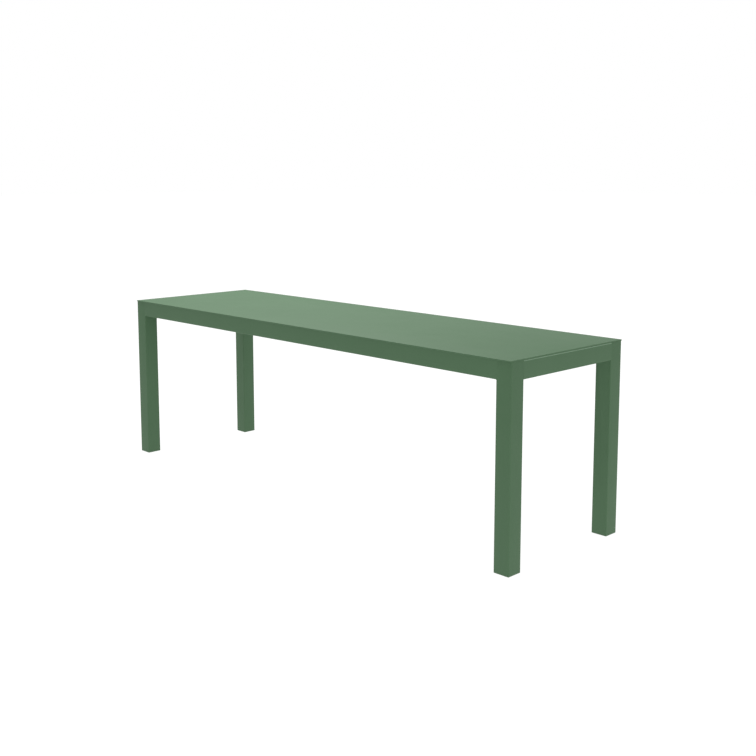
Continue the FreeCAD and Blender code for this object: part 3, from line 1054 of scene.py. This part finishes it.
# %% [markdown]
# ### Brackets
#
# One leg of each bracket stands on the rail with two screws, and the other lies under the
# bearer with one stud through it. Their edges are broken a little wider than the bearers',
# so that nobody catches a hand on them under the seat.

# %% Brackets
BRACKET_WALL = 3.0 * MM
BRACKET_BEND = 5.0 * MM
BRACKET_EDGE = 0.4 * MM
screw_boxes = solid_boxes("bracket_screws")


def coated_bracket(node):
    low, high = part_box(node)
    rearward = 1 if low.y + high.y > 0 else -1
    back = high.y if rearward > 0 else low.y
    drop = high.z - low.z
    reach = high.y - low.y
    path = rounded_path([(0, -drop), (0, 0), (reach, 0)], BRACKET_BEND)
    place = plane(Vector(((low.x + high.x) / 2, back, high.z)), (0, -rearward, 0), (0, 0, 1))
    angle = object_of(f"{node}_coated", extruded(ribbon(path, BRACKET_WALL), high.x - low.x, place))
    drills = stud_drills(node, SCREW_HOLE)
    for box_low, box_high in screw_boxes:
        spot = Vector(((box_low.x + box_high.x) / 2, back, (box_low.z + box_high.z) / 2))
        on_this_side = (box_low.y + box_high.y) * rearward > 0
        if on_this_side and near(spot, node):
            drills.append(drill(spot, (0, 1, 0), SCREW_HOLE, THROUGH_SHEET))
    cut(angle, drills)
    deburred(angle, BRACKET_EDGE)
    return finished(angle, [COAT], "green_powder_coat", node)


for node in sorted(name for name in nodes if name.endswith("_bracket")):
    coated_bracket(node)

# %% [markdown]
# ## Damping tape
#
# Steel on steel drums and rattles, so each bearer has a strip of foam tape along its top. It is
# squeezed to a millimetre, its cut edges bulge very slightly, and it has a hole for each stud.

# %% Damping tape
TAPE_HOLE = 4.05 * MM
TAPE_CORNER = 1 * MM
TAPE_BULGE = 0.25 * MM
TAPE_STEPS = 4


def foam_tape(node):
    low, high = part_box(node)
    half = (high - low) / 2
    rings = []
    for step in range(TAPE_STEPS + 1):
        share = step / TAPE_STEPS
        inset = TAPE_BULGE - TAPE_BULGE * math.sin(math.pi * share)
        z = -half.z + 2 * half.z * share
        rings.append(rounded_square(half.x - inset, half.y - inset, TAPE_CORNER, z))
    strip = object_of(f"{node}_foam", moved(skin(rings), Matrix.Translation((low + high) / 2)))
    cut(strip, stud_drills(node, TAPE_HOLE))
    return finished(strip, [FOAM], "damping_tape", node)


for node in sorted(name for name in nodes if name.endswith("_tape")):
    foam_tape(node)

# %% [markdown]
# ## Threads
#
# A thread is a ridge that climbs one pitch for each turn. On a skin of rings it needs no extra
# geometry: the radius at each point depends on how far along the rod it is and on how far
# round. The ridge is a wave with flat flanks, it fades in under the head, and the last turn
# shrinks to the chamfered tip. A texture could only fake this from one side; here the tip of
# each stud and screw has a real thread on it.

# %% Threaded rings
THREAD_RADIUS = 3.0 * MM
THREAD_DEPTH = 0.55 * MM
PITCH = 1.0 * MM
RINGS_PER_PITCH = 6
TIP = 0.6 * MM
FLANK = 1.2


def thread_rings(start, end, plain=0.0):
    """Rings down a threaded rod, from start to end, with a plain stretch first."""
    rings = []
    count = max(2, round((start - end) / PITCH * RINGS_PER_PITCH))
    for number in range(1, count + 1):
        z = start - (start - end) * number / count
        fade = min(1.0, max(0.0, (start - z - plain) / PITCH))
        room = (z - end) / TIP
        largest = THREAD_RADIUS - TIP * (1 - min(1.0, max(0.0, room)))

        def radius_at(angle, z=z, fade=fade, largest=largest):
            phase = (z / PITCH + angle / (2 * math.pi)) % 1.0
            dip = THREAD_DEPTH * fade * min(1.0, FLANK * abs(2 * phase - 1) ** FLANK)
            return min(largest, THREAD_RADIUS - dip)

        rings.append(round_ring(radius_at, z))
    return rings


print("rings on 10 mm of thread:", len(thread_rings(0.0, -10 * MM)))

# %% [markdown]
# ## Screws
#
# Both kinds of screw are driven with a hexagon key. The skin begins at the floor of the socket
# as a hexagon, climbs its walls, turns over the head as a circle, and goes on into the thread.
# A hexagon and a circle with the same number of points can follow each other, which is why
# every ring of the hardware has 24.

# %% Hexagon sockets
SOCKET_CHAMFER = 0.3 * MM
SOCKET_CONE = 0.4 * MM


def hexagon_ring(flats, z, largest=math.inf):
    """A hexagon, measured across its flats, with its corners turned down to a largest radius."""

    def radius_at(angle):
        off_flat = (angle + math.pi / 6) % (math.pi / 3) - math.pi / 6
        return min(largest, flats / 2 / math.cos(off_flat))

    return round_ring(radius_at, z)


def socket_rings(flats, depth, top):
    """Up the inside of a socket, from the cone that the drill left in its floor."""
    return [
        hexagon_ring(flats * 0.5, top - depth - SOCKET_CONE),
        hexagon_ring(flats, top - depth),
        hexagon_ring(flats, top - SOCKET_CHAMFER),
        circle(flats / 2 + 2 * SOCKET_CHAMFER, top),
    ]


print("a 4 mm socket is", 2 * round(hexagon_ring(4 * MM, 0)[0].length / MM, 2), "mm across its flats")

# %% [markdown]
# ### Button screws
#
# A button head is low and round, so it is used where a hand or a cloth may pass under the seat.
# Its crown is a quarter of an ellipse, from just outside the socket down to a short straight rim.

# %% Button screws
BUTTON_RADIUS = 5.25 * MM
BUTTON_HEAD = 3.3 * MM
BUTTON_RIM = 0.7 * MM
BUTTON_CROWN = 2.9 * MM
BUTTON_KEY = 4.0 * MM
BUTTON_SOCKET = 2.0 * MM
BUTTON_STEPS = 8
BUTTON_PLAIN = 1 * MM
HEAD_CHAMFER = 0.2 * MM


def button_screw(length):
    """Its head's underside is at the origin, its head is up and its shank runs down."""
    rings = socket_rings(BUTTON_KEY, BUTTON_SOCKET, BUTTON_HEAD)
    for step in range(1, BUTTON_STEPS + 1):
        angle = math.radians(90 * step / BUTTON_STEPS)
        across = BUTTON_CROWN + (BUTTON_RADIUS - BUTTON_CROWN) * math.sin(angle)
        rings.append(circle(across, BUTTON_RIM + (BUTTON_HEAD - BUTTON_RIM) * math.cos(angle)))
    rings += lathe(
        (BUTTON_RADIUS, HEAD_CHAMFER),
        (BUTTON_RADIUS - HEAD_CHAMFER, 0.0),
        (THREAD_RADIUS, 0.0),
    )
    return skin(rings + thread_rings(0.0, -length, BUTTON_PLAIN))


# %% [markdown]
# ### Cap screws
#
# A cap head is narrow and tall, so it can sink into the counterbore of a plug. Its side is
# knurled for the fingers: every second point of a ring lies a little lower, and the next ring
# has the other half of its points lower, which makes small diamonds.

# %% Cap screws
CAP_RADIUS = 5.0 * MM
CAP_HEAD = 6.0 * MM
CAP_EASE = 0.5 * MM
CAP_KEY = 5.0 * MM
CAP_SOCKET = 3.0 * MM
CAP_PLAIN = 12 * MM
KNURL_ROWS = 18
KNURL = 0.12 * MM


def cap_screw(length):
    """Placed like a button screw, with a knurled head that counterbores hide."""
    rings = socket_rings(CAP_KEY, CAP_SOCKET, CAP_HEAD)
    rings += lathe(
        (CAP_RADIUS - CAP_EASE, CAP_HEAD),
        (CAP_RADIUS - 0.3 * CAP_EASE, CAP_HEAD - 0.3 * CAP_EASE),
        (CAP_RADIUS, CAP_HEAD - CAP_EASE),
    )
    for number in range(KNURL_ROWS):
        z = CAP_HEAD - CAP_EASE - (CAP_HEAD - 2 * CAP_EASE) * (number + 1) / KNURL_ROWS

        def knurled(angle, odd=number % 2):
            ridge = round(angle / (2 * math.pi) * ROUND + odd) % 2
            return CAP_RADIUS - KNURL * ridge

        rings.append(round_ring(knurled, z))
    rings += lathe((CAP_RADIUS - HEAD_CHAMFER, 0.0), (THREAD_RADIUS, 0.0))
    return skin(rings + thread_rings(0.0, -length, CAP_PLAIN))


# %% [markdown]
# ### Putting the screws in
#
# Every screw across the bench has its head towards the bench's middle line, because that is
# where a hand with a key can reach. So the end of its box that is nearer the middle line is the
# top of its head, and the rest of the box is its shank.


# %% Screws in their places
def inward_screws(group, head_height, maker):
    """A screw along Y for each solid of a group, with its head towards the middle line."""
    made = []
    for low, high in solid_boxes(group):
        side = 1 if low.y + high.y > 0 else -1
        top = low.y if side > 0 else high.y
        seat = Vector(((low.x + high.x) / 2, top + side * head_height, (low.z + high.z) / 2))
        screw = maker(high.y - low.y - head_height)
        made.append(moved(screw, facing(seat, (0, -side, 0))))
    return joined(made)


def locking_screws():
    """A button screw driven from below for each locking screw."""
    made = []
    for low, high in solid_boxes("locking_screws"):
        seat = on_axis(low, high, low.z + BUTTON_HEAD)
        made.append(moved(button_screw(high.z - low.z - BUTTON_HEAD), facing(seat, (0, 0, -1))))
    return joined(made)


bracket_set = object_of("bracket_button_screws", inward_screws("bracket_screws", BUTTON_HEAD, button_screw))
finished(bracket_set, [ZINC], "zinc_steel", "bracket_screws")
plug_set = object_of("plug_cap_screws", inward_screws("plug_screws", CAP_HEAD, cap_screw))
finished(plug_set, [ZINC], "zinc_steel", "plug_screws")
locking_set = object_of("locking_button_screws", locking_screws())
finished(locking_set, [ZINC], "zinc_steel", "locking_screws")

# %% [markdown]
# ## Rivet nuts
#
# A 2 mm wall is too thin to hold a thread, so a rivet nut is squeezed into it: its flange stays
# outside, and its body folds out behind the wall. The body is ribbed so that it can't turn.

# %% Rivet nuts
NUT_BODY = 4.5 * MM
NUT_FLANGE = 6.5 * MM
NUT_BULGE = 6.2 * MM
NUT_BORE = 3.05 * MM
NUT_EASE = 0.2 * MM
NUT_RIB = 0.15 * MM
BULGE_LENGTH = 2.6 * MM
BULGE_STEPS = 8
BULGE_FULLNESS = 0.7
RIBS_FROM = 5.2 * MM


def rivet_nut(length):
    """Its flange's underside is at the origin, and its body runs down."""

    def ribbed(angle):
        return NUT_BODY - NUT_RIB * (round(angle / (2 * math.pi) * ROUND) % 2)

    rings = lathe(
        (NUT_BORE + NUT_EASE, RIVET_FLANGE),
        (NUT_FLANGE - NUT_EASE, RIVET_FLANGE),
        (NUT_FLANGE, RIVET_FLANGE - NUT_EASE),
        (NUT_FLANGE, NUT_EASE),
        (NUT_FLANGE - NUT_EASE, 0.0),
        (NUT_BODY, 0.0),
        (NUT_BODY, -TUBE_WALL),
    )
    for step in range(BULGE_STEPS + 1):
        angle = math.radians(180 * step / BULGE_STEPS)
        across = NUT_BODY + (NUT_BULGE - NUT_BODY) * math.sin(angle) ** BULGE_FULLNESS
        rings.append(circle(across, -TUBE_WALL - BULGE_LENGTH * step / BULGE_STEPS))
    body_end = -(length - RIVET_FLANGE)
    rings += [round_ring(ribbed, -RIBS_FROM), round_ring(ribbed, body_end + NUT_EASE)]
    rings += lathe(
        (NUT_BODY - 2 * NUT_EASE, body_end),
        (NUT_BORE + NUT_EASE, body_end),
        (NUT_BORE, body_end + NUT_EASE),
        (NUT_BORE, RIVET_FLANGE - NUT_EASE),
    )
    return skin(rings, "joined")


for group in ("bracket_rivet_nuts", "plug_rivet_nuts"):
    made = []
    for low, high in solid_boxes(group):
        side = 1 if low.y + high.y > 0 else -1
        made.append(moved(rivet_nut(high.y - low.y), facing(rivet_seat(low, high), (0, -side, 0))))
    finished(object_of(f"{group}_set", joined(made)), [ZINC], "zinc_steel", group)

# %% [markdown]
# ## Studs, washers and lock nuts
#
# The plate has no screw heads on top because studs are welded to its underside. Each stud
# passes down through the tape, the bearer and perhaps a bracket, and ends in a washer and a
# lock nut. All three are drawn downward from their top, so one helper hangs them in their
# places, each as long as the plain solid that it stands for.


# %% Hanging hardware in its places
def hung(group, maker):
    """What the maker makes, from the top of each solid of a group down, as long as the solid."""
    made = []
    for low, high in solid_boxes(group):
        made.append(moved(maker(high.z - low.z), Matrix.Translation(on_axis(low, high, high.z))))
    return joined(made)


# %% [markdown]
# ### Weld studs
#
# A stud is fused to the sheet by a spark under its foot. The foot is a little wider than the
# thread, and a collar of molten steel is left around it, drawn here as one short flare.

# %% Weld studs
STUD_FOOT = 3.75 * MM
STUD_FLARE = 3.3 * MM
FOOT_HEIGHT = 0.35 * MM
FLARE_HEIGHT = 0.75 * MM
THREAD_FROM = 1.0 * MM


def weld_stud(length):
    foot = lathe(
        (STUD_FOOT, 0.0),
        (STUD_FOOT, -FOOT_HEIGHT),
        (STUD_FLARE, -FLARE_HEIGHT),
        (THREAD_RADIUS, -THREAD_FROM),
    )
    return skin(foot + thread_rings(-THREAD_FROM, -length))


finished(object_of("weld_stud_set", hung("seat_studs", weld_stud)), [ZINC], "zinc_steel", "seat_studs")

# %% [markdown]
# ### Washers
#
# Punching draws one rim of a washer round and leaves the other sharp. The rounded rim lies up
# against the steel above it, so only the sharp one shows from below.

# %% Washers
WASHER_BORE = 3.3 * MM
WASHER_RADIUS = 6.0 * MM
WASHER_ROUNDING = 0.4 * MM
WASHER_BURR = 0.1 * MM


def washer(thick):
    rings = lathe(
        (WASHER_BORE, -WASHER_BURR),
        (WASHER_BORE + WASHER_BURR, 0.0),
        (WASHER_RADIUS - WASHER_ROUNDING, 0.0),
    )
    for step in range(1, EASE_STEPS + 1):
        angle = math.radians(90 * step / EASE_STEPS)
        inset = WASHER_ROUNDING * (1 - math.sin(angle))
        rings.append(circle(WASHER_RADIUS - inset, WASHER_ROUNDING * (math.cos(angle) - 1)))
    rings += lathe((WASHER_RADIUS, -thick), (WASHER_BORE, -thick))
    return skin(rings, "joined")


finished(object_of("washer_set", hung("stud_washers", washer)), [ZINC], "zinc_steel", "stud_washers")

# %% [markdown]
# ### Lock nuts
#
# The corners of a nut are turned down to a cone. A hexagon that is limited to the circle
# between its flats is that circle itself, and a little further on it is the full hexagon, so
# two rings make each chamfer. A nylon ring in the nut's lower end grips the thread. The nylon
# is a second finish on the same piece, given to the faces of the ring.

# %% Lock nuts
NUT_FLATS = 10 * MM
NUT_HEIGHT = 5.0 * MM
NUT_CHAMFER = 0.4 * MM
TOP_CORNER_DROP = 0.35 * MM
BOTTOM_CORNER_DROP = 0.5 * MM
COLLAR_RADIUS = 4.4 * MM
NYLON_RADIUS = 3.9 * MM
NYLON_STEP = (0.1 * MM, 0.15 * MM)
NYLON_DISH = 0.2 * MM


def lock_nut(length):
    """A nut whose nylon ring is at the bottom, held in a rolled collar."""
    corner = NUT_FLATS / math.sqrt(3)
    rings = lathe((NUT_BORE, -NUT_CHAMFER), (NUT_BORE + NUT_CHAMFER, 0.0))
    rings += [
        hexagon_ring(NUT_FLATS, 0.0, NUT_FLATS / 2),
        hexagon_ring(NUT_FLATS, -TOP_CORNER_DROP, corner),
        hexagon_ring(NUT_FLATS, -NUT_HEIGHT + BOTTOM_CORNER_DROP, corner),
        hexagon_ring(NUT_FLATS, -NUT_HEIGHT, NUT_FLATS / 2),
    ]
    rings += lathe(
        (COLLAR_RADIUS, -NUT_HEIGHT),
        (COLLAR_RADIUS, -length + NUT_CHAMFER),
        (COLLAR_RADIUS - NUT_CHAMFER, -length),
        (NYLON_RADIUS, -length),
        (NYLON_RADIUS - NYLON_STEP[0], -length + NYLON_STEP[1]),
        (NUT_BORE + NYLON_DISH, -length + NYLON_DISH),
        (NUT_BORE, -length + NUT_CHAMFER),
    )
    nut = skin(rings, "joined")
    for face in nut.faces:
        middle = face.calc_center_median()
        inside = math.hypot(middle.x, middle.y) < NYLON_RADIUS
        face.material_index = 1 if inside and middle.z < -NUT_HEIGHT else 0
    return nut


nut_set = object_of("lock_nut_set", hung("stud_lock_nuts", lock_nut))
finished(nut_set, [ZINC, RING_NYLON], "zinc_steel", "stud_lock_nuts")

# %% [markdown]
# ## Connector plugs
#
# The plugs are the only pieces whose CAD shape needs nothing more: a sawn block with its
# counterbores. They stay as they are and only get their finish.

# %% Connector plugs
for node in sorted(name for name in nodes if name.endswith("_plug")):
    plug = nodes[node]
    plug.data.materials.clear()
    plug.data.materials.append(ALUMINIUM)
    print(node, "keeps its CAD shape")

# %% [markdown]
# ## Floor and light
#
# The bench stands on a lit white floor, as on a light table, in front of a plain white
# surround. The floor's own glow fills the undersides and the inner faces of the legs, so that
# every upright face has the same flat tone and hardly a shadow falls. A large soft light above
# and to the left lifts the seat, most of all at its far end. Two low strips, one in front and
# one beyond the right end, shine in under the seat, so that the far legs are as clear as the
# near one.
#
# The surround that lights the bench is dimmer than the white that the camera sees. At a low
# angle a satin coat turns into a mirror, and a full white surround would bleach the seat. The
# floor lies a tenth of a millimetre low, because two surfaces in one plane flicker.

# %% Surround
SURROUND = 0.58
SURROUND_SEEN = 1.0


def studio_surround():
    world = bpy.data.worlds.new("studio")
    bpy.context.scene.world = world
    world.use_nodes = True
    tree = world.node_tree
    tree.nodes.clear()
    shades = []
    for strength in (SURROUND, SURROUND_SEEN):
        shade = tree.nodes.new("ShaderNodeBackground")
        shade.inputs["Color"].default_value = (1, 1, 1, 1)
        shade.inputs["Strength"].default_value = strength
        shades.append(shade)
    path = tree.nodes.new("ShaderNodeLightPath")
    choose = tree.nodes.new("ShaderNodeMixShader")
    tree.links.new(path.outputs["Is Camera Ray"], choose.inputs["Fac"])
    tree.links.new(shades[0].outputs["Background"], choose.inputs[1])
    tree.links.new(shades[1].outputs["Background"], choose.inputs[2])
    out = tree.nodes.new("ShaderNodeOutputWorld")
    tree.links.new(choose.outputs["Shader"], out.inputs["Surface"])


studio_surround()
print("surround", SURROUND, "seen as", SURROUND_SEEN)

# %% Lit floor
FLOOR_REACH = 30.0
FLOOR_GAP = 0.1 * MM
FLOOR_GLOW = 1.0
FLOOR_WHITE = 0.06
FLOOR_CLOUD = 1.05


def lit_floor():
    finish, tree, shader, place = new_finish("lit_white_floor")
    cloud = spread(tree, noise(tree, place, 2.0), 0.98, 1.02)
    white = blended(tree, cloud, (FLOOR_WHITE,) * 3, (FLOOR_WHITE * FLOOR_CLOUD,) * 3)
    tree.links.new(white, shader.inputs["Base Color"])
    shader.inputs["Roughness"].default_value = 0.9
    shader.inputs["Specular IOR Level"].default_value = 0.1
    shader.inputs["Emission Color"].default_value = (1, 1, 1, 1)
    shader.inputs["Emission Strength"].default_value = FLOOR_GLOW
    sheet = bmesh.new()
    corners = ((-1, -1), (1, -1), (1, 1), (-1, 1))
    sheet.faces.new([sheet.verts.new((FLOOR_REACH * x, FLOOR_REACH * y, -FLOOR_GAP)) for x, y in corners])
    floor = object_of("studio_floor", sheet)
    floor.data.materials.append(finish)
    print("floor", 2 * FLOOR_REACH, "m wide, glowing at", FLOOR_GLOW)


lit_floor()

# %% Soft lights
SEAT_MIDDLE = Vector((0, 0, (cad_low.z + cad_high.z) / 2))


def softbox(name, spot, width, height, power):
    """A soft light that faces the bench."""
    light = bpy.data.lights.new(name, "AREA")
    light.shape = "RECTANGLE"
    light.size = width
    light.size_y = height
    light.energy = power
    holder = bpy.data.objects.new(name, light)
    holder.location = spot
    holder.rotation_mode = "QUATERNION"
    holder.rotation_quaternion = (SEAT_MIDDLE - holder.location).to_track_quat("-Z", "Y")
    bpy.context.scene.collection.objects.link(holder)
    print(name, "at", spot, "size", (width, height), "power", power)


softbox("overhead_light", (-1.25, 0.3, 3.3), 1.6, 1.6, 117.0)
softbox("right_light", (6.5, 0.9, 0.5), 3.5, 0.8, 34.0)
softbox("front_light", (2.2, -3.2, 0.3), 2.4, 0.5, 15.0)

# %% [markdown]
# ## Camera
#
# The view is from the right front corner, a little above the seat, with a normal lens. The
# camera is nearly level, so the legs stay nearly upright. The picture is framed by a small
# lens shift, because tilting the camera further would make the legs lean.

# %% Camera
CAMERA_SPOT = Vector((2.001, -1.841, 0.829))
CAMERA_TURN = math.radians(45.74)
CAMERA_DIP = math.radians(7.31)
FOCAL_LENGTH = 50.55
LENS_SHIFT = -0.0958

lens = bpy.data.cameras.new("camera")
lens.sensor_width = 36.0
lens.lens = FOCAL_LENGTH
lens.shift_y = LENS_SHIFT
lens.clip_end = 100.0
camera = bpy.data.objects.new("camera", lens)
camera.location = CAMERA_SPOT
ahead = Vector((
    -math.sin(CAMERA_TURN) * math.cos(CAMERA_DIP),
    math.cos(CAMERA_TURN) * math.cos(CAMERA_DIP),
    -math.sin(CAMERA_DIP),
))
camera.rotation_mode = "QUATERNION"
camera.rotation_quaternion = ahead.to_track_quat("-Z", "Y")
bpy.context.scene.collection.objects.link(camera)
bpy.context.scene.camera = camera
bpy.context.scene.view_settings.view_transform = "Standard"
bpy.context.scene.view_settings.look = "None"
print("camera at", [round(v, 3) for v in camera.location], "lens", FOCAL_LENGTH)
